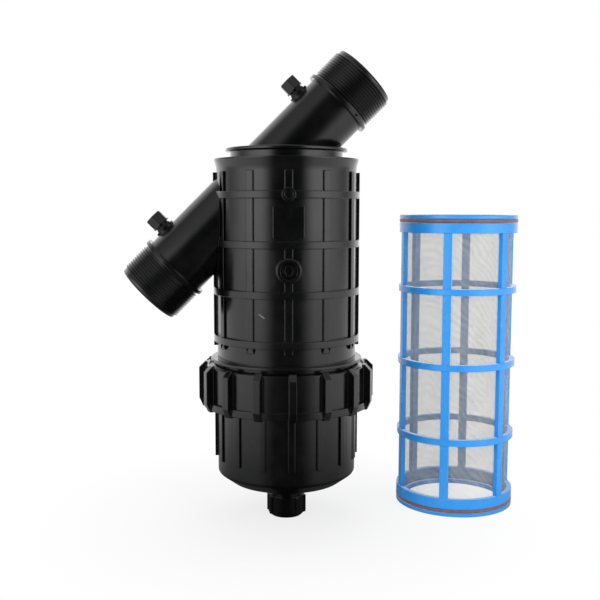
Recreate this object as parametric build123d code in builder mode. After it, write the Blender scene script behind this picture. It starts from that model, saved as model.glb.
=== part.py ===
from build123d import *
from math import copysign, cos, radians, sin
import os

os.makedirs("parts", exist_ok=True)

# Inline screen filter for a 2 inch line, in millimetres.
# The origin is the centre of the drain cap's underside, on the vessel's axis.
# +Z is up the vessel, +X leans towards the inlet port and -Y is the front.
# Threads are plain cylinders at their crest radius.

# Gaps
seat_gap = 0.1  # between flat faces that seat on each other
turning_gap = 0.3  # between round faces that turn or slide on each other
seal_gap = 0.05  # between a seal and the groove that carries it
hub_embed = 1.0  # how far a rib or boss is rooted in its wall

# Drain cap and its gasket
cap_height = 18.4
cap_floor = 3.5
cap_radius = 15.6
cap_rib_depth = 1.2
cap_rib_width = 3.0
cap_rib_count = 8
cap_rib_phase = -11.6
cap_rib_inset = 1.1
cap_chamfer = 2.5
gasket_thickness = 2.0
drain_thread_radius = 13.2  # G3/4
drain_bore_radius = 9.5
cap_to_neck = 3.2

# Vessel walls, shared by the bowl and the housing
wall = 4.0
vessel_radius = 58.7
rib_depth = 2.9
rib_width = 6.1
parting_share = 0.45  # of the front's facing: below it a rib stands square to the wall

# Bowl
neck_radius = 16.8
neck_height = 7.7
neck_fillet = 1.9
bowl_floor_rise = 2.9  # over the nearly flat floor, from the neck out to the bevel
bowl_floor_fillet = 5.3
bowl_bevel_width = 11.8
bowl_bevel_rise = 8.7
bowl_corner_fillet = 3.5
bowl_height = 62.3  # from the bevel to the flange
bowl_rib_count = 16
bowl_rib_phase = 2.3  # from the front, towards +X
bowl_rib_depth = 2.6
bowl_rib_width = 5.3
bowl_rib_start = 12.6  # above the bevel
seat_rise = 0.4  # cartridge seat above the bevel
flange_width = 4.7  # beyond the pilot
flange_thickness = 4.8
flange_lift = 0.6  # kept open by the O-ring
pilot_step = 2.0  # beyond the vessel's wall
pilot_height = 12.4
pilot_chamfer = 1.0
housing_seal_section = 3.3
housing_groove_rise = 3.9  # groove centre above the flange

# Union nut
nut_lip_thickness = 4.4
nut_wall = 2.6
nut_rim_rise = 1.3  # rim above the housing's thread
nut_band_depth = 2.4
nut_band_height = 5.8
nut_rib_count = 16
nut_rib_depth = 5.9
nut_rib_width = 5.9
nut_foot_drop = 1.4
nut_foot_depth = 2.8
nut_head_rise = 1.9
nut_head_depth = 0.8
nut_head_bevel = 5.0

# Housing body
thread_length = 23.6
undercut_height = 4.4
undercut_depth = 4.2
collar_depth = 5.5
collar_height = 2.6
collar_fillet = 0.8
bell_taper = 5.8
ring_count = 4
ring_height = 5.7
first_ring_rise = 17.1  # ring centre above the collar
last_ring_drop = 29.7  # ring centre below the shoulder
stave_count = 12
stave_overrun = 7.4  # below the first ring's centre
stave_stop = 10.8  # below the shoulder
shoulder_lip_depth = 1.9
shoulder_lip_height = 1.2
shoulder_cove_height = 9.4  # from the lip down to the wall
step_inset = 7.8
step_height = 8.9
step_waist_depth = 3.8
step_rim_height = 2.4
step_cove_height = 3.4
step_fillet = 0.9
cartridge_play = 0.8
cartridge_way = 2.9  # between the cartridge and the vessel's bore
seat_length = 11.3
seat_lead = 2.0

# Bare plate, moulding mark and gauge boss on the front
plate_size = 24.4
plate_depth = 1.7
plate_rise = 3.1  # above the ring below it
mark_radius = 5.3
mark_depth = 1.0
mark_dish_radius = 3.4
mark_dish_depth = 0.8
gauge_boss_radius = 9.9
gauge_boss_depth = 6.2
gauge_boss_chamfer = 0.8
gauge_thread_radius = 6.58  # G1/4
gauge_thread_depth = 8.0
gauge_hole_radius = 3.5
gauge_plug_length = 4.4
gauge_plug_recess = 1.6
gauge_plug_chamfer = 0.8
gauge_key_across = 6.0
gauge_key_depth = 3.0
gauge_seal_section = 1.4

# Ports, coaxial at 45 degrees through the vessel's axis
port_angle = 45.0
port_rise = 4.2  # where the port axis crosses the vessel's axis, above the shoulder
port_tube_radius = 27.8
port_thread_radius = 29.8  # G2
port_bore_radius = 24.6
port_thread_length = 29.9
port_flange_depth = 3.2
port_flange_width = 3.2
port_end_chamfer = 1.6
inlet_reach = 91.8  # along the port axis
outlet_reach = 164.7

# Test ports and their plugs, one on each tube
test_inset = 17.6  # from the port flange's centre, inwards
test_boss_radius = 8.8
test_boss_depth = 1.5
test_thread_radius = 4.86  # G1/8
test_seal_section = 1.8
test_collar_radius = 6.1
test_collar_height = 1.2
test_flange_radius = 7.8
test_flange_height = 1.2
test_head_across = 13.8
test_head_height = 9.2
test_head_chamfer = 0.8
test_stem_reach = 0.3  # short of the port's bore

# Screen cartridge, standing beside the vessel
cartridge_x = 154.0
cartridge_y = 33.0
cartridge_length = 259.0
cage_depth = 4.3
cage_rib_count = 6
cage_rib_phase = -22.0
cage_rib_width = 7.2
cage_rib_inset = 0.5  # ribs lie this far below the rings
cage_ring_count = 3
cage_ring_height = 5.5
end_lip_height = 2.9
end_band_height = 8.6
end_ring_depth = 7.2
cartridge_seal_section = 3.5
cartridge_seal_proud = 0.2
mesh_thickness = 0.5
mesh_rebate = 3.8

# Heights up the vessel, each from the piece below it
gasket_low = cap_floor + seat_gap
drain_end = gasket_low + gasket_thickness + seat_gap
neck_low = cap_height + cap_to_neck
neck_top = neck_low + neck_height
bowl_floor = neck_top + bowl_floor_rise
bowl_corner = bowl_floor + bowl_bevel_rise
flange_low = bowl_corner + bowl_height
flange_top = flange_low + flange_thickness
pilot_top = flange_top + pilot_height
housing_end = flange_top + flange_lift
thread_top = housing_end + thread_length
collar_low = thread_top + undercut_height
collar_top = collar_low + collar_height

# Radii that follow from the walls and gaps
vessel_bore = vessel_radius - wall
cartridge_radius = vessel_bore - cartridge_way
pilot_radius = vessel_radius + pilot_step
flange_radius = pilot_radius + flange_width
collar_radius = vessel_radius + collar_depth
step_radius = vessel_radius - step_inset
rib_radius = vessel_radius + rib_depth
bowl_rib_radius = vessel_radius + bowl_rib_depth
bowl_floor_radius = vessel_radius - bowl_bevel_width
step_waist_radius = step_radius - step_waist_depth
lip_radius = vessel_radius + shoulder_lip_depth
bell_radius = pilot_radius + turning_gap + seal_gap * 2
seat_radius = cartridge_radius + cartridge_seal_proud + turning_gap
ledge_radius = cartridge_radius - end_ring_depth + turning_gap
thread_radius = flange_radius + turning_gap
nut_bore = thread_radius + turning_gap
nut_radius = nut_bore + nut_wall

# The cartridge's bottom seat in the bowl sets how tall the housing is
bowl_floor_slope = bowl_floor_rise / (bowl_floor_radius - neck_radius)
seat_floor = bowl_corner + seat_rise
housing_ledge = seat_floor + cartridge_length + cartridge_play
shoulder_top = housing_ledge + wall
step_top = shoulder_top + step_height
step_bore = step_waist_radius - wall

ring_low = collar_top + first_ring_rise
ring_high = shoulder_top - last_ring_drop
ring_pitch = (ring_high - ring_low) / (ring_count - 1)
rings = [ring_low + n * ring_pitch for n in range(ring_count)]
stave_low = ring_low - stave_overrun
stave_high = shoulder_top - stave_stop

# Port axis and the stations along it
port_direction = Vector(cos(radians(port_angle)), 0, sin(radians(port_angle)))
port_up = Vector(-sin(radians(port_angle)), 0, cos(radians(port_angle)))
port_centre = Vector(0, 0, shoulder_top + port_rise)
port_plane = Plane(origin=port_centre, x_dir=(0, 1, 0), z_dir=port_direction)
inlet_flange = inlet_reach - port_thread_length - port_flange_width / 2
outlet_flange = outlet_reach - port_thread_length - port_flange_width / 2
inlet_test_station = inlet_flange - test_inset
outlet_test_station = test_inset - outlet_flange
test_face = port_tube_radius + test_boss_depth

front_face = vessel_radius - hub_embed  # sketches on the front start inside the wall
plate_height = rings[2] + ring_height / 2 + plate_rise + plate_size / 2
gauge_height = (rings[1] + rings[2]) / 2
gauge_face = vessel_radius + gauge_boss_depth
gauge_ledge = gauge_face - gauge_thread_depth


def circles(part, radius, height):
    """The part's circular edges of this radius at this height."""
    return part.edges().filter_by(GeomType.CIRCLE).filter_by(
        lambda edge: abs(edge.radius - radius) < 0.01 and abs(edge.center().Z - height) < 0.01
    )


def front_angle(phase):
    """The polar angle of a feature that stands at this phase from the front."""
    return phase - 90


def draw_ribs(angles, radius, width):
    """Ribs on the vessel's wall, at these angles from the front.

    The mould opens along Y, so a rib's sides lie along Y too, but for the ribs near the
    parting line, which stand square to the wall.
    """
    for angle in angles:
        turned = cos(radians(angle))
        if abs(turned) > parting_share:
            with Locations((radius * sin(radians(angle)), copysign(radius / 2, -turned))):
                Rectangle(width * abs(turned), radius)
        else:
            with PolarLocations(radius / 2, 1, start_angle=front_angle(angle)):
                Rectangle(radius, width)
    Circle(radius, mode=Mode.INTERSECT)
    Circle(front_face, mode=Mode.SUBTRACT)


def test_plane(station):
    """The plane across a test port, with its normal pointing out of the tube."""
    return Plane(origin=port_centre + port_direction * station, x_dir=(0, 1, 0), z_dir=port_up)


def finish(part, label):
    part.label = label
    export_step(part, f"parts/{label}.step")


# Housing body: the outer form, then its ports, ribs and bosses, then the hollow
lip_low = shoulder_top - shoulder_lip_height
rim_low = step_top - step_rim_height
with BuildPart() as housing_body:
    with BuildSketch(Plane.XZ):
        with BuildLine():
            Polyline(
                (0, step_top),
                (0, housing_end),
                (thread_radius, housing_end),
                (thread_radius, thread_top),
                (thread_radius - undercut_depth, thread_top),
                (thread_radius - undercut_depth, collar_low),
                (collar_radius, collar_low),
                (collar_radius, collar_top),
                (vessel_radius, collar_top),
                (vessel_radius, lip_low - shoulder_cove_height),
            )
            TangentArc((vessel_radius, lip_low - shoulder_cove_height), (lip_radius, lip_low),
                       tangent=(0, 1))
            Polyline(
                (lip_radius, lip_low),
                (lip_radius, shoulder_top),
                (step_waist_radius, shoulder_top),
                (step_waist_radius, rim_low - step_cove_height),
            )
            TangentArc((step_waist_radius, rim_low - step_cove_height), (step_radius, rim_low),
                       tangent=(0, 1))
            Polyline(
                (step_radius, rim_low),
                (step_radius, step_top),
                (0, step_top),
            )
        make_face()
    revolve(axis=Axis.Z)
    fillet(circles(housing_body.part, step_radius, step_top), step_fillet)
    fillet(circles(housing_body.part, collar_radius, collar_top), collar_fillet)

    # Rings round the wall
    with Locations(*[(0, 0, height) for height in rings]):
        Cylinder(rib_radius, ring_height)

    # Bare plate, moulding mark and gauge boss on the front
    with BuildSketch(Plane.XZ.offset(front_face)):
        with Locations((0, plate_height)):
            Rectangle(plate_size, plate_size)
    extrude(amount=vessel_radius + plate_depth - front_face)
    with BuildSketch(Plane.XZ.offset(front_face)):
        with Locations((0, rings[3])):
            Circle(mark_radius)
    extrude(amount=rib_radius + mark_depth - front_face)
    with BuildSketch(Plane.XZ.offset(rib_radius + mark_depth)):
        with Locations((0, rings[3])):
            Circle(mark_dish_radius)
    extrude(amount=-mark_dish_depth, mode=Mode.SUBTRACT)
    boss_root = front_face - hub_embed
    boss_shoulder = gauge_face - gauge_boss_chamfer
    with BuildSketch(Plane.XZ.offset(boss_root)):
        with Locations((0, gauge_height)):
            Circle(gauge_boss_radius)
    extrude(amount=boss_shoulder - boss_root)
    with BuildSketch(Plane.XZ.offset(boss_shoulder)):
        with Locations((0, gauge_height)):
            Circle(gauge_boss_radius)
    extrude(amount=gauge_boss_chamfer, taper=45)

    # Staves down the wall; the front one stops at the bare plate
    stave_step = 360 / stave_count
    with BuildSketch(Plane.XY.offset(stave_low)):
        draw_ribs([n * stave_step for n in range(1, stave_count)], rib_radius, rib_width)
    extrude(amount=stave_high - stave_low)
    for low, high in ((stave_low, rings[2]), (rings[3], stave_high)):
        with BuildSketch(Plane.XY.offset(low)):
            draw_ribs([0], rib_radius, rib_width)
        extrude(amount=high - low)

    # Port tubes with their thread lands and stop flanges
    wall_middle = vessel_radius - wall / 2
    outlet_root = port_tube_radius - wall_middle / cos(radians(port_angle))
    for root, reach, flange in (
        (-port_tube_radius, inlet_reach, inlet_flange),
        (outlet_root, -outlet_reach, -outlet_flange),
    ):
        side = 1 if reach > 0 else -1
        with BuildSketch(port_plane.offset(root)):
            Circle(port_tube_radius)
        extrude(amount=flange - root)
        with BuildSketch(port_plane.offset(flange - port_flange_width / 2)):
            Circle(port_tube_radius + port_flange_depth)
        extrude(amount=port_flange_width)
        with BuildSketch(port_plane.offset(flange)):
            Circle(port_thread_radius)
        extrude(amount=reach - flange - side * port_end_chamfer)
        with BuildSketch(port_plane.offset(reach - side * port_end_chamfer)):
            Circle(port_thread_radius)
        extrude(amount=side * port_end_chamfer, taper=45)

    # Test bosses on the tubes
    for station in (inlet_test_station, outlet_test_station):
        with BuildSketch(test_plane(station).offset(port_bore_radius + hub_embed)):
            Circle(test_boss_radius)
        extrude(amount=test_face - port_bore_radius - hub_embed)

    # The hollow: bell for the bowl's pilot, vessel bore, cartridge seat and dome
    with BuildSketch(Plane.XZ):
        with BuildLine():
            Polyline(
                (0, housing_end),
                (bell_radius, housing_end),
                (bell_radius, thread_top - bell_taper),
                (vessel_bore, thread_top + bell_taper / 2),
                (vessel_bore, housing_ledge - seat_length - seat_lead),
                (seat_radius, housing_ledge - seat_length),
                (seat_radius, housing_ledge),
                (step_bore, housing_ledge),
                (step_bore, step_top - wall),
                (0, step_top - wall),
                close=True,
            )
        make_face()
    revolve(axis=Axis.Z, mode=Mode.SUBTRACT)

    # Bores of the ports
    inlet_break = (housing_ledge - port_centre.Z) / sin(radians(port_angle)) - port_bore_radius
    outlet_break = port_bore_radius + turning_gap - vessel_bore / cos(radians(port_angle))
    for inner, reach in ((inlet_break, inlet_reach), (outlet_break, -outlet_reach)):
        with BuildSketch(port_plane.offset(inner)):
            Circle(port_bore_radius)
        extrude(amount=reach - inner, mode=Mode.SUBTRACT)

    # Holes of the test ports and the gauge port
    for station in (inlet_test_station, outlet_test_station):
        with BuildSketch(test_plane(station).offset(test_face)):
            Circle(test_thread_radius)
        extrude(amount=port_bore_radius / 2 - test_face, mode=Mode.SUBTRACT)
    for face, depth, radius in (
        (gauge_face, gauge_thread_depth, gauge_thread_radius),
        (gauge_ledge, vessel_radius - vessel_bore, gauge_hole_radius),
    ):
        with BuildSketch(Plane.XZ.offset(face)):
            with Locations((0, gauge_height)):
                Circle(radius)
        extrude(amount=-depth, mode=Mode.SUBTRACT)
finish(housing_body.part, "housing_body")


# Union nut: lip, threaded shell and band by one profile, then its grip ribs
nut_low = flange_low - seat_gap - nut_lip_thickness
nut_lip_top = nut_low + nut_lip_thickness
nut_rim = thread_top + nut_rim_rise
nut_rib_radius = nut_radius + nut_rib_depth
with BuildPart() as nut_rib:
    with BuildSketch(Plane.XZ):
        with BuildLine():
            Polyline(
                (nut_bore + nut_wall / 2, nut_low - nut_foot_drop),
                (nut_radius + nut_foot_depth, nut_low - nut_foot_drop),
                (nut_rib_radius, nut_low + nut_band_height),
                (nut_rib_radius, nut_rim + nut_head_rise - nut_head_bevel),
                (nut_radius + nut_head_depth, nut_rim + nut_head_rise),
                (nut_bore + nut_wall / 2, nut_rim + nut_head_rise),
                close=True,
            )
        make_face()
    extrude(amount=nut_rib_width / 2, both=True)

with BuildPart() as union_nut:
    with BuildSketch(Plane.XZ):
        with BuildLine():
            Polyline(
                (bowl_rib_radius + 2 * turning_gap, nut_low),
                (nut_radius + nut_band_depth, nut_low),
                (nut_radius + nut_band_depth, nut_low + nut_band_height),
                (nut_radius, nut_low + nut_band_height),
                (nut_radius, nut_rim),
                (nut_bore, nut_rim),
                (nut_bore, nut_lip_top),
                (bowl_rib_radius + 2 * turning_gap, nut_lip_top),
                close=True,
            )
        make_face()
    revolve(axis=Axis.Z)
    with PolarLocations(0, nut_rib_count, start_angle=front_angle(bowl_rib_phase)):
        add(nut_rib.part)
finish(union_nut.part, "union_nut")


# Bowl: one profile from the drain spigot up to the pilot, then its ribs
groove_middle = flange_top + housing_groove_rise
groove_half = housing_seal_section / 2 + seal_gap * 4
groove_radius = pilot_radius + seal_gap * 2 - housing_seal_section
floor_high = bowl_floor + bowl_floor_slope * (ledge_radius - bowl_floor_radius) + wall
floor_low = floor_high - bowl_floor_slope * (ledge_radius - drain_bore_radius)
with BuildPart() as bowl:
    with BuildSketch(Plane.XZ):
        with BuildLine():
            Polyline(
                (drain_bore_radius, drain_end),
                (drain_thread_radius, drain_end),
                (drain_thread_radius, neck_low),
                (neck_radius, neck_low),
                (neck_radius, neck_top),
                (bowl_floor_radius, bowl_floor),
                (vessel_radius, bowl_corner),
                (vessel_radius, flange_low),
                (flange_radius, flange_low),
                (flange_radius, flange_top),
                (pilot_radius, flange_top),
                (pilot_radius, groove_middle - groove_half),
                (groove_radius, groove_middle - groove_half),
                (groove_radius, groove_middle + groove_half),
                (pilot_radius, groove_middle + groove_half),
                (pilot_radius, pilot_top),
                (vessel_bore, pilot_top),
                (vessel_bore, seat_floor + seat_length + seat_lead),
                (seat_radius, seat_floor + seat_length),
                (seat_radius, seat_floor),
                (ledge_radius, seat_floor),
                (ledge_radius, floor_high),
                (drain_bore_radius, floor_low),
                close=True,
            )
        make_face()
    revolve(axis=Axis.Z)
    fillet(circles(bowl.part, vessel_radius, bowl_corner), bowl_corner_fillet)
    fillet(circles(bowl.part, bowl_floor_radius, bowl_floor), bowl_floor_fillet)
    fillet(circles(bowl.part, neck_radius, neck_top), neck_fillet)
    chamfer(circles(bowl.part, pilot_radius, pilot_top), pilot_chamfer)
    with BuildSketch(Plane.XY.offset(bowl_corner + bowl_rib_start)):
        draw_ribs(
            [bowl_rib_phase + n * 360 / bowl_rib_count for n in range(bowl_rib_count)],
            bowl_rib_radius,
            bowl_rib_width,
        )
    extrude(amount=flange_low - bowl_corner - bowl_rib_start)
finish(bowl.part, "bowl")

with BuildPart() as housing_o_ring:
    with Locations((0, 0, groove_middle)):
        Torus(groove_radius + seal_gap + (housing_seal_section - seal_gap) / 2,
              (housing_seal_section - seal_gap) / 2)
finish(housing_o_ring.part, "housing_o_ring")


# Drain cap and the gasket that it presses on the spigot
cap_bore = drain_thread_radius + turning_gap
with BuildPart() as drain_cap:
    with BuildSketch(Plane.XZ):
        with BuildLine():
            Polyline(
                (0, 0),
                (cap_radius - cap_chamfer, 0),
                (cap_radius, cap_chamfer),
                (cap_radius, cap_height),
                (cap_bore, cap_height),
                (cap_bore, cap_floor),
                (0, cap_floor),
                close=True,
            )
        make_face()
    revolve(axis=Axis.Z)
    with BuildSketch(Plane.XY.offset(cap_chamfer)):
        with PolarLocations(cap_radius, cap_rib_count, start_angle=front_angle(cap_rib_phase)):
            Rectangle(2 * cap_rib_depth, cap_rib_width)
    extrude(amount=cap_height - cap_rib_inset - cap_chamfer)
finish(drain_cap.part, "drain_cap")

with BuildPart() as drain_gasket:
    with BuildSketch(Plane.XY.offset(gasket_low)):
        Circle(drain_thread_radius)
        Circle(drain_bore_radius, mode=Mode.SUBTRACT)
    extrude(amount=gasket_thickness)
finish(drain_gasket.part, "drain_gasket")


# Test plugs, each with the O-ring under its collar
def make_test_seal(station):
    minor = test_seal_section / 2
    with BuildPart(test_plane(station).offset(test_face + seat_gap + minor)) as seal:
        Torus(test_thread_radius + minor, minor)
    return seal.part


def make_test_plug(station):
    collar_low = test_face + 2 * seat_gap + test_seal_section
    flange_low = collar_low + test_collar_height
    head_low = flange_low + test_flange_height
    stem_low = port_bore_radius + test_stem_reach
    across = test_plane(station)
    with BuildPart() as plug:
        for low, height, radius in (
            (stem_low, collar_low - stem_low, test_thread_radius - turning_gap),
            (collar_low, test_collar_height, test_collar_radius),
            (flange_low, test_flange_height, test_flange_radius),
        ):
            with BuildSketch(across.offset(low)):
                Circle(radius)
            extrude(amount=height)
        with BuildSketch(across.offset(head_low)):
            RegularPolygon(test_head_across / 2, 6, major_radius=False)
        extrude(amount=test_head_height)
        chamfer(
            plug.faces().sort_by(Axis(across.origin, across.z_dir))[-1].edges(),
            test_head_chamfer,
        )
    return plug.part


for side, station in (("inlet", inlet_test_station), ("outlet", outlet_test_station)):
    finish(make_test_seal(station), f"{side}_plug_o_ring")
    finish(make_test_plug(station), f"{side}_test_plug")


# Gauge port plug, sunk in the front boss, and the O-ring behind it
gauge_plug_face = gauge_face - gauge_plug_recess
gauge_seal_minor = gauge_seal_section / 2
with BuildPart() as gauge_port_plug:
    with BuildSketch(Plane.XZ.offset(gauge_plug_face - gauge_plug_length)):
        with Locations((0, gauge_height)):
            Circle(gauge_thread_radius - turning_gap)
    extrude(amount=gauge_plug_length)
    chamfer(gauge_port_plug.edges().group_by(Axis.Y)[0], gauge_plug_chamfer)
    with BuildSketch(Plane.XZ.offset(gauge_plug_face)):
        with Locations((0, gauge_height)):
            RegularPolygon(gauge_key_across / 2, 6, major_radius=False)
    extrude(amount=-gauge_key_depth, mode=Mode.SUBTRACT)
finish(gauge_port_plug.part, "gauge_port_plug")

with BuildPart(
    Plane(origin=(0, seat_gap + gauge_seal_minor - gauge_plug_face + gauge_plug_length,
                  gauge_height), z_dir=(0, -1, 0))
) as gauge_plug_o_ring:
    Torus((gauge_hole_radius + gauge_thread_radius - turning_gap) / 2, gauge_seal_minor)
finish(gauge_plug_o_ring.part, "gauge_plug_o_ring")


# Screen cartridge: cage of rings and ribs, mesh tube inside it, O-ring at each end
cartridge_plane = Plane(origin=(cartridge_x, cartridge_y, 0), x_dir=(1, 0, 0), z_dir=(0, -1, 0))
cartridge_axis = Axis((cartridge_x, cartridge_y, 0), (0, 0, 1))
cage_bore = cartridge_radius - cage_depth
end_bore = cartridge_radius - end_ring_depth
seal_groove_radius = cartridge_radius + cartridge_seal_proud - cartridge_seal_section
seal_groove_width = cartridge_seal_section + 4 * seal_gap
end_height = end_lip_height + seal_groove_width + end_band_height
seal_height = end_lip_height + seal_groove_width / 2
with BuildPart() as cartridge_cage:
    with BuildSketch(cartridge_plane):
        with BuildLine():
            Polyline(
                (end_bore, 0),
                (cartridge_radius, 0),
                (cartridge_radius, end_lip_height),
                (seal_groove_radius, end_lip_height),
                (seal_groove_radius, end_lip_height + seal_groove_width),
                (cartridge_radius, end_lip_height + seal_groove_width),
                (cartridge_radius, end_height),
                (cage_bore, end_height),
                (cage_bore, mesh_rebate),
                (end_bore, mesh_rebate),
                close=True,
            )
        make_face()
        mirror(about=Plane.XZ.offset(-cartridge_length / 2))
    revolve(axis=cartridge_axis)
    for n in range(cage_ring_count):
        middle = cartridge_length * (n + 1) / (cage_ring_count + 1)
        with BuildSketch(Plane.XY.offset(middle - cage_ring_height / 2)):
            with Locations((cartridge_x, cartridge_y)):
                Circle(cartridge_radius)
                Circle(cage_bore, mode=Mode.SUBTRACT)
        extrude(amount=cage_ring_height)
    with BuildSketch(Plane.XY.offset(end_height - hub_embed)):
        with Locations((cartridge_x, cartridge_y)):
            with PolarLocations(
                cartridge_radius, cage_rib_count, start_angle=front_angle(cage_rib_phase)
            ):
                Rectangle(4 * cage_depth, cage_rib_width)
            Circle(cartridge_radius - cage_rib_inset, mode=Mode.INTERSECT)
            Circle(cage_bore, mode=Mode.SUBTRACT)
    extrude(amount=cartridge_length - 2 * (end_height - hub_embed))
finish(cartridge_cage.part, "cartridge_cage")

with BuildPart() as mesh_screen:
    with BuildSketch(Plane.XY.offset(mesh_rebate + seal_gap)):
        with Locations((cartridge_x, cartridge_y)):
            Circle(cage_bore - seal_gap)
            Circle(cage_bore - seal_gap - mesh_thickness, mode=Mode.SUBTRACT)
    extrude(amount=cartridge_length - 2 * (mesh_rebate + seal_gap))
finish(mesh_screen.part, "mesh_screen")

cartridge_seal_minor = (cartridge_seal_section - seal_gap) / 2
for end, height in (("top", cartridge_length - seal_height), ("bottom", seal_height)):
    with BuildPart() as cartridge_seal:
        with Locations((cartridge_x, cartridge_y, height)):
            Torus(seal_groove_radius + seal_gap + cartridge_seal_minor, cartridge_seal_minor)
    finish(cartridge_seal.part, f"cartridge_{end}_o_ring")
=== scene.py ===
"""Looks of the inline screen filter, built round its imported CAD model. Metres throughout."""

import math

import bmesh
import bpy
from mathutils import Matrix, Vector


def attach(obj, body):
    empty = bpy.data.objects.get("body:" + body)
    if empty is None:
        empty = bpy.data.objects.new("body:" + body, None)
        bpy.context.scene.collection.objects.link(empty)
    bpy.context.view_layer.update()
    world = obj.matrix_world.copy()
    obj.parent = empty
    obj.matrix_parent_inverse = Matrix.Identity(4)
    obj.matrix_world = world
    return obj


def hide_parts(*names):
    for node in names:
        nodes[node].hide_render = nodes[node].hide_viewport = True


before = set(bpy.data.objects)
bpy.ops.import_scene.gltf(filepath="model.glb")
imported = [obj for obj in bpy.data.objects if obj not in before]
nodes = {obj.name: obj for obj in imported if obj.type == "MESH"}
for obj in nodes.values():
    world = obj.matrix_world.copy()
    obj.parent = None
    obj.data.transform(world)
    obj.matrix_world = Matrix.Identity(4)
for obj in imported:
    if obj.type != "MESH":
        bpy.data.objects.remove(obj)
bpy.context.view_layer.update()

# Camera, as the photograph was taken
CAMERA_PLACE = (-0.0225, -0.7455, 0.2644)
CAMERA_TURN = math.radians(-2.617)
CAMERA_DOWN = math.radians(5.935)
CAMERA_ROLL = math.radians(0.096)
LENS_MM = 52.77
SENSOR_MM = 36.0

# Pipe threads on both ports, G2: 11 threads to the inch
PORT_CENTRE = Vector((0.0, 0.0, 0.3093))
PORT_DIRECTION = Vector((1.0, 0.0, 1.0)).normalized()
INLET_END = 0.0918
OUTLET_END = -0.1647
THREAD_CREST = 0.0298
THREAD_DEPTH = 0.00148
THREAD_ROOT = THREAD_CREST - THREAD_DEPTH
THREAD_PITCH = 0.002309
THREAD_LENGTH = 0.0299
UNDERCUT_LENGTH = 0.0017
RUN_IN = 0.0012
RUN_OUT = 0.0004
LEAD_LENGTH = 0.0030
LEAD_RADIUS = 0.0283
LEAD_SLOPE = 0.0002
END_CHAMFER = 0.0012
END_SINK = 0.00002
ROWS_PER_TURN = 9
STEPS_ROUND = 168

# The CAD's plain land under each thread, and how far its vertices may lie off it
LAND_SINK = 0.00004
LAND_MARGIN = 0.0001
LAND_BELOW = 0.0010
LAND_ABOVE = 0.0002

# Vessel wall, its rings and its staves, which the photo shows less deep than the rings
VESSEL_RADIUS = 0.0587
RING_RADIUS = 0.0616
RING_LOWEST = 0.1563
RING_SPACING = 0.0397
RING_COUNT = 4
RINGS = [RING_LOWEST + n * RING_SPACING for n in range(RING_COUNT)]
RING_HALF = 0.00285
RING_CUTS = (0.00001, 0.00006)
RING_MARGIN = 0.00003
CREST_MARGIN = 0.00003
STAVE_DEPTH = 0.0013

# Ribs further to the front or back than this share of the radius are lowered
OUTLINE_SHARE = 0.3

# Ribs of the bowl, less deep in the photo too
BOWL_RIB_RADIUS = 0.0613
BOWL_RIB_DEPTH = 0.0014

# The step on top of the vessel: its rim, and the cove between the rim and the waist
STEP_RADIUS = 0.0509
WAIST_RADIUS = 0.0471
RIM_LOW = 0.3116
COVE_HEIGHT = 0.0034
COVE_SHARE = 0.35
COVE_MARGIN = 0.0001
COVE_END_MARGIN = 0.00002

# Screen cartridge
CARTRIDGE_AXIS = (0.154, 0.033)
CARTRIDGE_NODES = [
    "cartridge_cage", "mesh_screen", "cartridge_top_o_ring", "cartridge_bottom_o_ring"
]
SCREEN_RADIUS = 0.0474
WEAVE_PITCH = 0.0007
WEAVE_DEPTH = 0.0002
WIRE_UNDER = 0.6
# The screen's colour: random cloudy tone plus painted moiré shade, the light and dark bands two
# mesh layers make where they line up
CLOUD_SHARE = 0.35
MOIRE_SHADE_SHARE = 0.65
MOIRE_SCALE = 90.0
MOIRE_DISTORTION = 9.0
MOIRE_DETAIL = 2.0
MOIRE_DETAIL_SCALE = 0.6
WIRE_DARK = (0.38, 0.38, 0.35, 1)
WIRE_LIGHT = (0.92, 0.92, 0.87, 1)
# Painted shade in the gaps between wires
WIRE_GAP_SHADE = (0.40, 0.40, 0.38, 1)
SCREEN_ALPHA = 0.2

# Moulded plastic: colours, relief, and what its marks do to the gloss and the colour
BLACK = (0.0019, 0.0021, 0.0023, 1)
# The lighter colours serve both the random blotches and the painted highlight on the edges
BLACK_WORN_AND_HIGHLIT = (0.006, 0.006, 0.0065, 1)
BLUE = (0.035, 0.335, 0.88, 1)
BLUE_WORN_AND_HIGHLIT = (0.06, 0.38, 0.92, 1)
EDGE_RADIUS = 0.0009
THREAD_EDGE_RADIUS = 0.0001
BEVEL_SAMPLES = 6
EDGE_STARTS = 0.99
EDGE_FULL = 0.86
RIPPLE_SIZE = 0.022
RIPPLE_DEPTH = 0.00012
GRAIN_SIZE = 0.0009
GRAIN_DEPTH = 0.000008
BLOTCH_ROUGHNESS = 0.05
BLOTCH_WEAR = 0.5
FLECK_ROUGHNESS = 0.06
# Painted highlight: how far the edges are lightened towards the lighter colour
EDGE_HIGHLIGHT = 0.6

# A scratch on the front of the vessel
SCRATCH_X = -0.0213
SCRATCH_HEIGHT = 0.1795
SCRATCH_SLOPE = math.radians(35)
SCRATCH_LENGTH = 0.0068
SCRATCH_WIDTH = 0.0013
SCRATCH_FULL_ALONG = 0.25
SCRATCH_FULL_ACROSS = 0.2
SCRATCH_COLOUR = (0.16, 0.16, 0.16, 1)
SCRATCH_ROUGHNESS = 0.3

# Rubber rings
MAROON = (0.19, 0.11, 0.13, 1)
MAROON_BLOOM = (0.26, 0.17, 0.19, 1)
RUBBER_BLACK = (0.010, 0.010, 0.010, 1)
RUBBER_BLACK_BLOOM = (0.03, 0.03, 0.03, 1)
BLOOM_MOST = 0.7
BLOOM_ROUGHNESS = 0.12
RUBBER_GRAIN_SIZE = 0.0005
RUBBER_GRAIN_DEPTH = 0.00004
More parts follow.
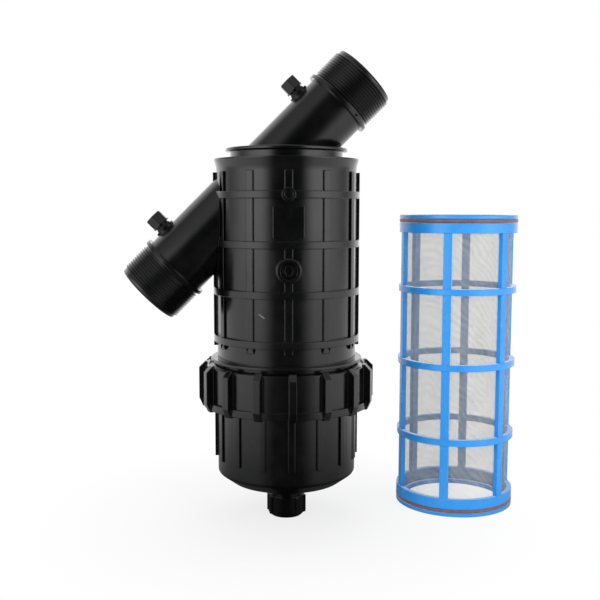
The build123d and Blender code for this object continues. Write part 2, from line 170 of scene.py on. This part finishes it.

# White paper floor: how far out its real shadow goes, and the painted shade and painted glow it
# shows in gloss
WHITE = (1, 1, 1, 1)
FLOOR_RADIUS = 3.0
FLOOR_SEGMENTS = 96
FLOOR_DROP = 0.0001
SHADOW_REACH = (0.05, 0.22)
SHADOW_WHITE = (0.78, 1.0)
FLOOR_GLOSS_GLOW_ASIDE = (0.06, 1.25)
FLOOR_GLOSS_SHADE_REACH = (0.08, 0.60)
FLOOR_GLOSS_SHADE_SHARE = (0.05, 1.0)

# The studio as the gloss shows it: turns from the front, rises, and radiances
DARK_EDGE = math.radians(22)
PANEL_EDGE = math.radians(44)
PANEL_END = math.radians(54)
PANEL_GONE = math.radians(115)
SIDE_EDGE = math.radians(100)
BACK_EDGE = math.radians(135)
PANEL_RISE = (0.18, 0.52)
WALL_RISE = (0.60, 0.88)
CEILING_RISE = (0.5, 0.95)
PANEL_LEVEL = 2.5
PANEL_FAR_SHARE = 0.12
PANEL_TOP_SHARE = 0.22
SIDE_LEVEL = 0.02
BACK_LEVEL = 1.2
WALL_TOP_SHARE = 0.3
CEILING_LEVEL = 0.5
FILL_LEVEL = 0.45
LIGHT_AIM = Vector((0.04, 0.0, 0.2))


class NodeTree:
    """A node tree, with short calls to add nodes and join them."""

    def __init__(self, tree):
        self.tree = tree

    def add(self, kind, inputs=None, **settings):
        node = self.tree.nodes.new("ShaderNode" + kind)
        for key, value in settings.items():
            setattr(node, key, value)
        for key, value in (inputs or {}).items():
            self.put(node.inputs[key], value)
        return node

    def put(self, socket, value):
        if isinstance(value, bpy.types.NodeSocket):
            self.tree.links.new(value, socket)
        else:
            socket.default_value = value

    def remap(self, value, low, high, to_low, to_high, kind="LINEAR"):
        """Value taken from low..high to to_low..to_high, and kept inside it."""
        inputs = {
            "Value": value,
            "From Min": low,
            "From Max": high,
            "To Min": to_low,
            "To Max": to_high,
        }
        return self.add("MapRange", inputs, interpolation_type=kind).outputs["Result"]

    def maths(self, operation, first, second=0.0):
        return self.add("Math", {0: first, 1: second}, operation=operation).outputs["Value"]

    def mix_values(self, amount, first, second):
        """Number between first and second by the amount."""
        return self.add("Mix", {0: amount, 2: first, 3: second}).outputs[0]

    def axes(self, vector):
        """A vector's X, Y and Z."""
        return self.add("SeparateXYZ", {0: vector}).outputs

    def turned_from_front(self, direction):
        """How far a direction is turned from the front about Z, either way, in radians."""
        axes = self.axes(direction)
        forward = self.maths("MULTIPLY", axes["Y"], -1.0)
        return self.maths("ABSOLUTE", self.maths("ARCTAN2", axes["X"], forward))

    def seen_directly(self):
        """1 for rays from the camera, straight or through a clear piece."""
        path = self.add("LightPath").outputs
        return self.maths("MAXIMUM", path["Is Camera Ray"], path["Is Transmission Ray"])

    def seen_in_gloss(self):
        return self.add("LightPath").outputs["Is Glossy Ray"]


class Shader(NodeTree):
    """A material round its Principled shader."""

    def __init__(self, name):
        self.material = bpy.data.materials.new(name)
        self.material.use_nodes = True
        super().__init__(self.material.node_tree)
        self.surface = self.tree.nodes["Principled BSDF"]
        self.place = self.add("TexCoord").outputs["Object"]

    def look(self, **values):
        """Sets the Principled shader's sockets, named with underscores."""
        for key, value in values.items():
            self.put(self.surface.inputs[key.replace("_", " ")], value)

    def noise(self, size, detail=2.0):
        """Noise from 0 to 1 whose blotches are about this size."""
        inputs = {"Vector": self.place, "Scale": 1 / size, "Detail": detail}
        return self.add("TexNoise", inputs).outputs["Fac"]

    def spots(self, size, low, high, least=0.0, most=1.0, detail=2.0):
        """Noise of this size, taken from low..high to least..most."""
        return self.remap(self.noise(size, detail), low, high, least, most)

    def blend(self, amount, first, second):
        """Colour between first and second by the amount."""
        node = self.add("Mix", {0: amount}, data_type="RGBA")
        self.put(node.inputs[6], first)
        self.put(node.inputs[7], second)
        return node.outputs[2]

    def bump(self, height, depth, normal=None):
        inputs = {"Height": height, "Distance": depth}
        if normal:
            inputs["Normal"] = normal
        return self.add("Bump", inputs).outputs["Normal"]

    def edges(self, radius):
        """Rounded-over normals, and a mask that is 1 on the edges they round."""
        bevel = self.add("Bevel", {"Radius": radius}, samples=BEVEL_SAMPLES)
        rounded = bevel.outputs["Normal"]
        true = self.add("NewGeometry").outputs["Normal"]
        alike = self.add("VectorMath", {0: rounded, 1: true}, operation="DOT_PRODUCT")
        return rounded, self.remap(alike.outputs["Value"], EDGE_STARTS, EDGE_FULL, 0.0, 1.0)


def moulded_plastic(name, colour, worn_and_highlit, roughness, edge_radius=EDGE_RADIUS, scratched=False):
    """Injection-moulded plastic: fine grain, slow ripples, gloss that varies, and edges lightened
    in patches as a painted highlight.
    """
    shader = Shader(name)
    rounded, edge = shader.edges(edge_radius)
    ripple = shader.bump(shader.noise(RIPPLE_SIZE), RIPPLE_DEPTH, rounded)
    grain = shader.bump(shader.noise(GRAIN_SIZE), GRAIN_DEPTH, ripple)
    blotch = shader.spots(size=0.014, low=0.35, high=0.7, detail=4.0)
    fleck = shader.spots(size=0.0016, low=0.62, high=0.75, detail=5.0)
    patchy = shader.spots(size=0.004, low=0.35, high=0.65, least=0.2)
    # Painted highlight: the edges are lightened in patches towards the lighter colour
    edge_highlight = shader.maths("MULTIPLY", edge, patchy)
    gloss = shader.maths("ADD", shader.maths("MULTIPLY", blotch, BLOTCH_ROUGHNESS), roughness)
    gloss = shader.maths("ADD", gloss, shader.maths("MULTIPLY", fleck, FLECK_ROUGHNESS))
    base = shader.blend(shader.maths("MULTIPLY", blotch, BLOTCH_WEAR), colour, worn_and_highlit)
    base = shader.blend(shader.maths("MULTIPLY", edge_highlight, EDGE_HIGHLIGHT), base, worn_and_highlit)
    if scratched:
        scratch = scratch_mask(shader)
        base = shader.blend(scratch, base, SCRATCH_COLOUR)
        gloss = shader.maths("ADD", gloss, shader.maths("MULTIPLY", scratch, SCRATCH_ROUGHNESS))
    shader.look(Base_Color=base, Roughness=gloss, Normal=grain)
    return shader.material


def scratch_mask(shader):
    """1 on the one scratch on the vessel's front, which fades towards its ends."""
    axes = shader.axes(shader.place)
    x = shader.maths("SUBTRACT", axes["X"], SCRATCH_X)
    z = shader.maths("SUBTRACT", axes["Z"], SCRATCH_HEIGHT)
    level, steep = math.cos(SCRATCH_SLOPE), math.sin(SCRATCH_SLOPE)
    run = shader.maths(
        "SUBTRACT", shader.maths("MULTIPLY", x, level), shader.maths("MULTIPLY", z, steep)
    )
    off = shader.maths(
        "ADD", shader.maths("MULTIPLY", x, steep), shader.maths("MULTIPLY", z, level)
    )
    along = shader.remap(
        shader.maths("ABSOLUTE", run),
        SCRATCH_LENGTH * SCRATCH_FULL_ALONG, SCRATCH_LENGTH / 2, 1.0, 0.0,
    )
    across = shader.remap(
        shader.maths("ABSOLUTE", off),
        SCRATCH_WIDTH * SCRATCH_FULL_ACROSS, SCRATCH_WIDTH / 2, 1.0, 0.0,
    )
    in_front = shader.maths("LESS_THAN", axes["Y"], 0.0)
    return shader.maths("MULTIPLY", in_front, shader.maths("MULTIPLY", along, across))


def rubber(name, colour, bloom, roughness):
    """Moulded rubber with a faint bloom."""
    shader = Shader(name)
    bloomed = shader.spots(size=0.006, low=0.4, high=0.7, most=BLOOM_MOST, detail=4.0)
    shader.look(
        Base_Color=shader.blend(bloomed, colour, bloom),
        Roughness=shader.remap(
            bloomed, 0.0, BLOOM_MOST, roughness, roughness + BLOOM_ROUGHNESS
        ),
        Normal=shader.bump(shader.noise(RUBBER_GRAIN_SIZE, detail=3.0), RUBBER_GRAIN_DEPTH),
    )
    return shader.material


def woven_screen(name):
    """Fine plain weave round the cartridge's axis, mostly see-through."""
    shader = Shader(name)
    axes = shader.axes(shader.place)
    x = shader.maths("SUBTRACT", axes["X"], CARTRIDGE_AXIS[0])
    y = shader.maths("SUBTRACT", axes["Y"], CARTRIDGE_AXIS[1])
    per_turn = SCREEN_RADIUS * math.pi / WEAVE_PITCH
    across = shader.maths("MULTIPLY", shader.maths("ARCTAN2", y, x), per_turn)
    along = shader.maths("MULTIPLY", axes["Z"], math.pi / WEAVE_PITCH)
    warp = shader.maths("ABSOLUTE", shader.maths("COSINE", across))
    weft = shader.maths("ABSOLUTE", shader.maths("COSINE", along))
    cross = shader.maths(
        "MULTIPLY", shader.maths("SINE", across), shader.maths("SINE", along)
    )
    over = shader.maths("MULTIPLY", warp, shader.remap(cross, -1.0, 1.0, WIRE_UNDER, 1.0))
    under = shader.maths("MULTIPLY", weft, shader.remap(cross, -1.0, 1.0, 1.0, WIRE_UNDER))
    weave = shader.maths("MAXIMUM", over, under)
    moire_shade = {
        "Vector": shader.place,
        "Scale": MOIRE_SCALE,
        "Distortion": MOIRE_DISTORTION,
        "Detail": MOIRE_DETAIL,
        "Detail Scale": MOIRE_DETAIL_SCALE,
    }
    moire_shade = shader.add("TexWave", moire_shade, bands_direction="DIAGONAL").outputs["Fac"]
    # Painted shade: moiré bands added to the random cloudy tone of the wire
    cloud_and_moire_shade = shader.spots(size=0.02, low=0.35, high=0.65, most=CLOUD_SHARE, detail=3.0)
    cloud_and_moire_shade = shader.maths("ADD", cloud_and_moire_shade, shader.maths("MULTIPLY", moire_shade, MOIRE_SHADE_SHARE))
    wire = shader.blend(cloud_and_moire_shade, WIRE_DARK, WIRE_LIGHT)
    # Painted shade: the colour darkens towards the gaps between wires and where a wire dips under
    # another
    shader.look(
        Base_Color=shader.blend(weave, WIRE_GAP_SHADE, wire),
        Roughness=shader.remap(weave, 0.0, 1.0, 0.75, 0.5),
        Normal=shader.bump(weave, WEAVE_DEPTH),
        Alpha=SCREEN_ALPHA,
    )
    return shader.material


def paper_floor(name):
    """White paper that keeps the object's shadow near it and is plain white further away.

    In gloss it is all glow: a painted shadow right under the object, painted shade towards the
    camera's own side, and a painted glow to either side further out.
    """
    shader = Shader(name)
    away = shader.add("VectorMath", {0: shader.place}, operation="LENGTH").outputs["Value"]
    paper = shader.spots(size=0.002, low=0.3, high=0.7, least=0.86, most=0.88, detail=3.0)
    shader.look(Base_Color=paper, Roughness=0.9, Specular_IOR_Level=0.0)
    in_gloss = shader.seen_in_gloss()
    faded = shader.remap(away, *SHADOW_REACH, *SHADOW_WHITE)
    near = shader.maths("MULTIPLY", shader.seen_directly(), faded)
    glowing = shader.maths("MAXIMUM", near, in_gloss)
    # Seen in gloss the floor is only emission, a painted reflection: painted shade under the
    # object and towards the camera, painted glow brighter than white to either side
    turned = shader.turned_from_front(shader.place)
    painted_glow_aside = shader.remap(turned, DARK_EDGE, PANEL_EDGE, *FLOOR_GLOSS_GLOW_ASIDE)
    reach = shader.remap(away, *FLOOR_GLOSS_SHADE_REACH, *FLOOR_GLOSS_SHADE_SHARE)
    level = shader.mix_values(in_gloss, 1.0, shader.maths("MULTIPLY", painted_glow_aside, reach))
    # This emission is plain white for rays from the camera and painted light for gloss rays
    white = shader.add("Emission", {"Color": WHITE, "Strength": level}).outputs[0]
    mix = shader.add("MixShader", {0: glowing, 1: shader.surface.outputs[0], 2: white})
    shader.put(shader.tree.nodes["Material Output"].inputs["Surface"], mix.outputs[0])
    return shader.material


def make_object(name, vertices, faces, material):
    mesh = bpy.data.meshes.new(name)
    mesh.from_pydata(vertices, [], faces)
    mesh.update()
    mesh.validate()
    mesh.polygons.foreach_set("use_smooth", [True] * len(mesh.polygons))
    mesh.materials.append(material)
    thing = bpy.data.objects.new(name, mesh)
    bpy.context.scene.collection.objects.link(thing)
    return thing


def thread_height(turns):
    """Share of the thread's depth at this many turns: a V with rounded crest and root."""
    straight = 1 - abs((turns % 1.0) * 2 - 1)
    rounded = straight * straight * (3 - 2 * straight)
    return rounded * 0.5 + straight * 0.5


def make_port_thread(name, end, material):
    """A port's thread as one skin: undercut at the flange, right-handed thread, plain lead."""
    outward = PORT_DIRECTION * math.copysign(1, end)
    side = Vector((0, 1, 0))
    up = outward.cross(side)
    reach = abs(end)
    start = reach - THREAD_LENGTH + UNDERCUT_LENGTH
    lead_start = reach - LEAD_LENGTH
    rows = int((lead_start - start) / THREAD_PITCH * ROWS_PER_TURN)
    profile = [(start + (lead_start - start) * n / rows, None) for n in range(rows + 1)]
    profile += [
        (lead_start + LEAD_SLOPE, LEAD_RADIUS),
        (reach - END_CHAMFER, LEAD_RADIUS),
        (reach - END_SINK, LEAD_RADIUS - END_CHAMFER),
        (reach - END_SINK, THREAD_ROOT - END_CHAMFER),
    ]
    vertices = []
    for along, radius in profile:
        fade = min((along - start) / RUN_IN, (lead_start - along) / RUN_OUT, 1.0)
        for n in range(STEPS_ROUND):
            turn = n / STEPS_ROUND
            if radius is None:
                height = thread_height(along / THREAD_PITCH - turn)
                here = THREAD_ROOT + THREAD_DEPTH * height * max(fade, 0.0)
            else:
                here = radius
            angle = turn * 2 * math.pi
            around = side * math.cos(angle) + up * math.sin(angle)
            vertices.append(PORT_CENTRE + outward * along + around * here)
    faces = []
    for row in range(len(profile) - 1):
        low = row * STEPS_ROUND
        high = low + STEPS_ROUND
        for n in range(STEPS_ROUND):
            m = (n + 1) % STEPS_ROUND
            faces.append((low + n, low + m, high + m, high + n))
    thread = make_object(name, vertices, faces, material)
    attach(thread, "housing")


def store_normals(mesh):
    """Keeps the CAD surface's exact normals through the cuts that follow."""
    normals = [0.0] * (3 * len(mesh.loops))
    mesh.corner_normals.foreach_get("vector", normals)
    kept = mesh.attributes.new("kept_normal", "FLOAT_VECTOR", "CORNER")
    kept.data.foreach_set("vector", normals)


def restore_normals(mesh):
    """Puts the kept normals back, and the face's own where a face has turned."""
    kept = mesh.attributes["kept_normal"]
    normals = []
    for polygon in mesh.polygons:
        for loop in polygon.loop_indices:
            normal = kept.data[loop].vector.normalized()
            turned = normal.dot(polygon.normal) <= 0.5
            normals.append(polygon.normal.copy() if turned else normal)
    mesh.attributes.remove(kept)
    mesh.normals_split_custom_set(normals)


def take_in_thread_lands(mesh):
    """The plain lands under both threads go in to just below the threads' root."""
    inlet_start = INLET_END - THREAD_LENGTH - LAND_MARGIN
    outlet_start = OUTLET_END + THREAD_LENGTH + LAND_MARGIN
    lowest, highest = THREAD_CREST - LAND_BELOW, THREAD_CREST + LAND_ABOVE
    for vertex in mesh.vertices:
        along = (vertex.co - PORT_CENTRE).dot(PORT_DIRECTION)
        centre = PORT_CENTRE + PORT_DIRECTION * along
        around = vertex.co - centre
        on_land = along > inlet_start or along < outlet_start
        if on_land and lowest < around.length < highest:
            vertex.co = centre + around * (1 - (THREAD_DEPTH + LAND_SINK) / around.length)


def cut_at_rings(work):
    """Cuts the mesh just above and below each ring, so that the staves between can be moved."""
    for ring in RINGS:
        for cut in RING_CUTS:
            offset = RING_HALF + cut
            for height in (ring - offset, ring + offset):
                geometry = work.verts[:] + work.edges[:] + work.faces[:]
                bmesh.ops.bisect_plane(
                    work, geom=geometry, dist=1e-7, plane_co=(0, 0, height), plane_no=(0, 0, 1)
                )


def lower_ribs(work, radius, depth):
    """Takes the ribs at this radius in to a lesser depth, save the ones at the outline.

    Their crests move along Y, the way the mould opens, so their sides stay as they are.
    """
    lowered = VESSEL_RADIUS + depth
    for vertex in work.verts:
        x, y, z = vertex.co
        on_ring = any(abs(z - ring) < RING_HALF + RING_MARGIN for ring in RINGS)
        on_crest = abs(math.hypot(x, y) - radius) < CREST_MARGIN
        if on_crest and not on_ring and abs(y) > OUTLINE_SHARE * radius:
            vertex.co.y = math.copysign(math.sqrt(lowered ** 2 - min(abs(x), lowered) ** 2), y)


def open_step_waist(mesh):
    """The cove under the step's rim is drawn up, so that more of the waist stands upright."""
    cove_low = RIM_LOW - COVE_HEIGHT - COVE_END_MARGIN
    innermost, outermost = WAIST_RADIUS - COVE_MARGIN, STEP_RADIUS + COVE_MARGIN
    for vertex in mesh.vertices:
        x, y, z = vertex.co
        if cove_low < z < RIM_LOW and innermost < math.hypot(x, y) < outermost:
            vertex.co.z = RIM_LOW - (RIM_LOW - z) * COVE_SHARE


def dressed_copy(node, body, material):
    """A copy of a node's own mesh, which takes its place in the picture."""
    piece = nodes[node].copy()
    piece.data = nodes[node].data.copy()
    piece.name = piece.data.name = node + "_dressed"
    bpy.context.scene.collection.objects.link(piece)
    piece.parent = None
    for key in list(piece.keys()):
        del piece[key]
    piece.data.materials.clear()
    piece.data.materials.append(material)
    store_normals(piece.data)
    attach(piece, body)
    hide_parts(node)
    return piece


def make_housing(material):
    """The housing's own mesh, with its threads' lands, staves and step brought to the photo."""
    mesh = dressed_copy("housing_body", "housing", material).data
    take_in_thread_lands(mesh)
    work = bmesh.new()
    work.from_mesh(mesh)
    cut_at_rings(work)
    lower_ribs(work, RING_RADIUS, STAVE_DEPTH)
    work.to_mesh(mesh)
    work.free()
    open_step_waist(mesh)
    restore_normals(mesh)


def make_bowl(material):
    """The bowl's own mesh, with its ribs brought to the photo."""
    mesh = dressed_copy("bowl", "bowl", material).data
    work = bmesh.new()
    work.from_mesh(mesh)
    lower_ribs(work, BOWL_RIB_RADIUS, BOWL_RIB_DEPTH)
    work.to_mesh(mesh)
    work.free()
    restore_normals(mesh)


def give_material(names, material):
    for name in names:
        mesh = nodes[name].data
        mesh.materials.clear()
        mesh.materials.append(material)


def make_camera():
    camera = bpy.data.objects.new("camera", bpy.data.cameras.new("camera"))
    bpy.context.scene.collection.objects.link(camera)
    camera.data.lens = LENS_MM
    camera.data.sensor_width = SENSOR_MM
    turn = Matrix.Rotation(CAMERA_TURN, 4, "Z")
    tilt = Matrix.Rotation(math.pi / 2 - CAMERA_DOWN, 4, "X")
    roll = Matrix.Rotation(CAMERA_ROLL, 4, "Z")
    camera.matrix_world = Matrix.Translation(CAMERA_PLACE) @ turn @ tilt @ roll
    bpy.context.scene.camera = camera


def make_softbox(name, azimuth, distance, height, width, tall, radiance):
    """A rectangular soft light. Azimuth 0 is the front, positive to the camera's right."""
    light = bpy.data.lights.new(name, "AREA")
    light.shape = "RECTANGLE"
    light.size = width
    light.size_y = tall
    light.energy = radiance * math.pi * width * tall
    thing = bpy.data.objects.new(name, light)
    bpy.context.scene.collection.objects.link(thing)
    angle = math.radians(azimuth)
    place = Vector((math.sin(angle) * distance, -math.cos(angle) * distance, height))
    thing.location = place
    thing.rotation_euler = (LIGHT_AIM - place).to_track_quat("-Z", "Y").to_euler()
    thing.visible_glossy = False


def make_world():
    """White where it is seen, and a soft fill elsewhere.

    In gloss it is a studio: a dark camera side, a tall panel on either side, white behind.
    """
    world = bpy.data.worlds.new("studio")
    bpy.context.scene.world = world
    world.use_nodes = True
    studio = NodeTree(world.node_tree)
    direction = studio.add("TexCoord").outputs["Generated"]
    turned = studio.turned_from_front(direction)
    rise = studio.axes(direction)["Z"]
    panel = studio.maths(
        "MULTIPLY",
        studio.remap(turned, DARK_EDGE, PANEL_EDGE, 0.0, PANEL_LEVEL, "SMOOTHSTEP"),
        studio.remap(turned, PANEL_END, PANEL_GONE, 1.0, PANEL_FAR_SHARE, "SMOOTHSTEP"),
    )
    panel = studio.maths("MULTIPLY", panel, studio.remap(rise, *PANEL_RISE, 1.0, PANEL_TOP_SHARE))
    back = studio.remap(turned, SIDE_EDGE, BACK_EDGE, SIDE_LEVEL, BACK_LEVEL, "SMOOTHSTEP")
    walls = studio.maths("ADD", panel, back)
    walls = studio.maths("MULTIPLY", walls, studio.remap(rise, *WALL_RISE, 1.0, WALL_TOP_SHARE))
    ceiling = studio.remap(rise, *CEILING_RISE, 0.0, CEILING_LEVEL)
    mirrored = studio.maths("ADD", walls, ceiling)
    level = studio.mix_values(studio.seen_in_gloss(), FILL_LEVEL, mirrored)
    level = studio.mix_values(studio.seen_directly(), level, 1.0)
    background = studio.tree.nodes["Background"]
    background.inputs["Color"].default_value = WHITE
    studio.put(background.inputs["Strength"], level)


def make_floor():
    turns = [2 * math.pi * n / FLOOR_SEGMENTS for n in range(FLOOR_SEGMENTS)]
    rim = [(math.cos(turn) * FLOOR_RADIUS, math.sin(turn) * FLOOR_RADIUS, 0.0) for turn in turns]
    floor = make_object("floor", rim, [tuple(range(FLOOR_SEGMENTS))], paper_floor("floor_paper"))
    floor.location.z = -FLOOR_DROP


black = moulded_plastic("black_plastic", BLACK, BLACK_WORN_AND_HIGHLIT, roughness=0.19)
housing_black = moulded_plastic(
    "housing_plastic", BLACK, BLACK_WORN_AND_HIGHLIT, roughness=0.19, scratched=True
)
thread_black = moulded_plastic(
    "thread_plastic", BLACK, BLACK_WORN_AND_HIGHLIT, roughness=0.17, edge_radius=THREAD_EDGE_RADIUS
)
blue = moulded_plastic("blue_plastic", BLUE, BLUE_WORN_AND_HIGHLIT, roughness=0.24)
maroon = rubber("maroon_rubber", MAROON, MAROON_BLOOM, roughness=0.45)
black_rubber = rubber("black_rubber", RUBBER_BLACK, RUBBER_BLACK_BLOOM, roughness=0.55)

bpy.context.scene.view_settings.view_transform = "Standard"
make_camera()
give_material(
    ["union_nut", "drain_cap", "inlet_test_plug", "outlet_test_plug", "gauge_port_plug"], black
)
give_material(["cartridge_cage"], blue)
give_material(["mesh_screen"], woven_screen("woven_screen"))
give_material(["cartridge_top_o_ring", "cartridge_bottom_o_ring"], maroon)
give_material(
    ["housing_o_ring", "drain_gasket", "inlet_plug_o_ring", "outlet_plug_o_ring",
     "gauge_plug_o_ring"],
    black_rubber,
)
make_housing(housing_black)
make_bowl(black)
make_port_thread("inlet_thread", INLET_END, thread_black)
make_port_thread("outlet_thread", OUTLET_END, thread_black)

# The photo shows no blue mirror image of the cartridge on the vessel
for name in CARTRIDGE_NODES:
    nodes[name].visible_glossy = False

make_world()
make_floor()
for name, azimuth in (("left_softbox", -45), ("right_softbox", 45)):
    make_softbox(name, azimuth, distance=1.3, height=0.5, width=1.0, tall=1.2, radiance=2.3)
make_softbox("top_softbox", 180, distance=0.5, height=1.4, width=1.2, tall=0.8, radiance=1.8)
